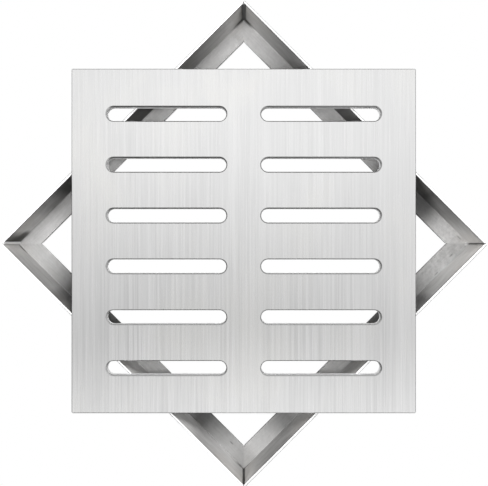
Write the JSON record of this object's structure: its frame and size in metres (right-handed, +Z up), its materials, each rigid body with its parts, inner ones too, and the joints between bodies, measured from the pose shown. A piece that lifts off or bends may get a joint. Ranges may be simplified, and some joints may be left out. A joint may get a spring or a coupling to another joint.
{
  "type": "floor drain grate",
  "caption": "Square floor drain cover with rows of long slots, lying turned across its welded stainless steel angle frame.",
  "frame": {"origin": "middle of the frame's underside, on the face that beds on the floor", "axes": "+Z up, through the cover; X and Y along the cover's sides, so that the frame's corners lie on the X and Y axes"},
  "size_m": [0.431, 0.431, 0.026],
  "materials": {
    "cover_steel": "brushed along Y",
    "frame_steel": "mill finish, lightly brushed along each bar",
    "weld_steel": "ground weld"
  },
  "bodies": {
    "frame": {"frame_bar_north_east": "frame_steel", "frame_bar_north_west": "frame_steel", "frame_bar_south_west": "frame_steel", "frame_bar_south_east": "frame_steel", "wall_weld_north": "weld_steel", "wall_weld_east": "weld_steel", "wall_weld_south": "weld_steel", "wall_weld_west": "weld_steel", "ledge_weld_north": "weld_steel", "ledge_weld_east": "weld_steel", "ledge_weld_south": "weld_steel", "ledge_weld_west": "weld_steel"},
    "cover": {"cover_plate": "cover_steel"}
  },
  "joints": [
    {"name": "cover_lift", "type": "slide", "parent": "frame", "child": "cover", "axis": [0, 0, 1], "range_m": [0, 0.15]}
  ]
}
